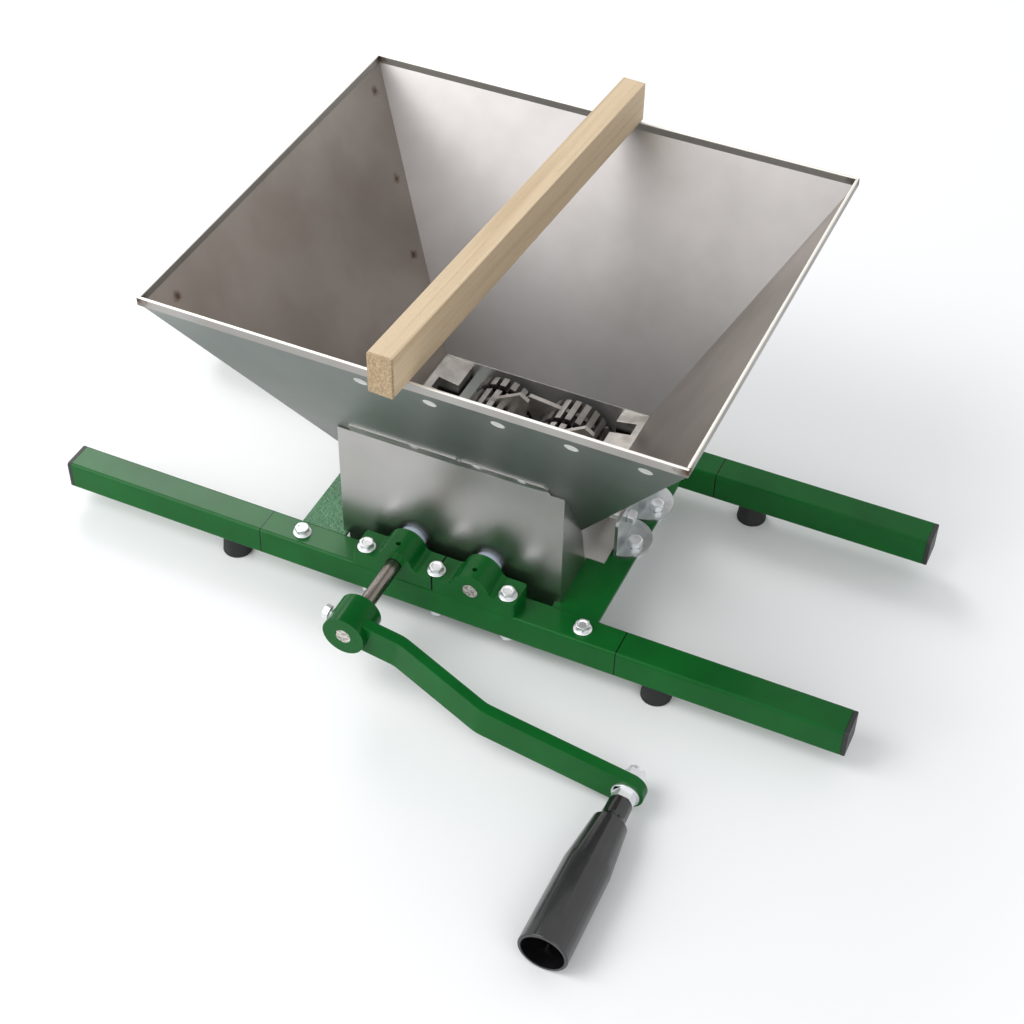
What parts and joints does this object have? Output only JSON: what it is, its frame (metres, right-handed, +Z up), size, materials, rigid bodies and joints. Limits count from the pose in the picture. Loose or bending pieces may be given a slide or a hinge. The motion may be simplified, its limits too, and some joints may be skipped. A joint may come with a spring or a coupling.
{
  "type": "hand-cranked apple scratter",
  "caption": "Hand-cranked fruit crusher: a flared sheet hopper over geared toothed rotors and combs, on a tube frame with rubber feet, with a crank, a turning grip and a loose wooden pusher.",
  "frame": {"origin": "on the floor plane under the middle of the whole machine's bounding box, crank and pusher included", "axes": "+X along the rails to the right as seen from the crank side, +Y to the back away from the crank, +Z up"},
  "size_m": [0.648, 0.5548, 0.3092],
  "materials": {
    "green_paint": "gloss powder coat",
    "zinc_plate": "bright zinc plate",
    "plain_steel": "drawn, dull",
    "gear_steel": "sintered, greased",
    "cast_aluminium": "as cast",
    "stainless_sheet": "rolled satin",
    "nylon": "satin",
    "cap_plastic": "matte",
    "foot_rubber": "matte",
    "grip_plastic": "gloss",
    "beech": "bare, planed"
  },
  "bodies": {
    "frame": {"front_rail": "green_paint", "rear_rail": "green_paint", "left_cross_plate": "green_paint", "right_cross_plate": "green_paint", "front_left_arm": "green_paint", "front_right_arm": "green_paint", "rear_left_arm": "green_paint", "rear_right_arm": "green_paint", "front_left_block": "green_paint", "front_right_block": "green_paint", "rear_left_block": "green_paint", "rear_right_block": "green_paint", "foot_screws": "zinc_plate", "arm_clamp_bolts": "zinc_plate", "arm_clamp_nuts": "zinc_plate", "block_bolts": "zinc_plate", "block_nuts": "zinc_plate", "left_brackets": "zinc_plate", "right_brackets": "zinc_plate", "bracket_bolts": "zinc_plate", "bracket_nuts": "zinc_plate", "comb_bolts": "zinc_plate", "comb_spacers": "zinc_plate", "arm_sleeves": "plain_steel", "left_comb": "cast_aluminium", "right_comb": "cast_aluminium", "chamber_front_wall": "stainless_sheet", "chamber_rear_wall": "stainless_sheet", "chamber_left_wall": "stainless_sheet", "chamber_right_wall": "stainless_sheet", "gear_cover": "stainless_sheet", "hopper_front_panel": "stainless_sheet", "hopper_back_panel": "stainless_sheet", "hopper_left_panel": "stainless_sheet", "hopper_right_panel": "stainless_sheet", "hopper_corner_flaps": "stainless_sheet", "hopper_rim": "stainless_sheet", "front_left_bush": "nylon", "front_right_bush": "nylon", "rear_left_bush": "nylon", "rear_right_bush": "nylon", "arm_end_caps": "cap_plastic", "rubber_feet": "foot_rubber"},
    "drive": {"drive_shaft": "plain_steel", "drive_gear": "gear_steel", "drive_pins": "zinc_plate", "drive_rotor": "cast_aluminium", "crank_hub": "green_paint", "crank_bar": "green_paint", "crank_set_screw": "zinc_plate", "grip_bolt": "zinc_plate", "grip_flange_nut": "zinc_plate", "grip_spring_washer": "zinc_plate", "grip_lock_nut": "zinc_plate"},
    "driven": {"driven_shaft": "plain_steel", "driven_gear": "gear_steel", "driven_pins": "zinc_plate", "driven_rotor": "cast_aluminium"},
    "grip": {"crank_grip": "grip_plastic"},
    "pusher": {"pusher_bar": "beech"}
  },
  "joints": [
    {"name": "crank_spin", "type": "hinge", "parent": "frame", "child": "drive", "pos_m": [-0.0315, 0.07674, 0.0562], "axis": [0, 1, 0], "continuous": true},
    {"name": "driven_spin", "type": "hinge", "parent": "frame", "child": "driven", "pos_m": [0.0315, 0.07674, 0.0562], "axis": [0, 1, 0], "continuous": true},
    {"name": "grip_spin", "type": "hinge", "parent": "drive", "child": "grip", "pos_m": [0.19689, -0.21086, 0.0184], "axis": [0, 1, 0], "continuous": true},
    {"name": "pusher_lift", "type": "slide", "parent": "frame", "child": "pusher", "axis": [0, 0, 1], "range_m": [0, 0.25]}
  ],
  "couplings": [
    {"joint": "driven_spin", "follows": "crank_spin", "ratio": -1}
  ]
}
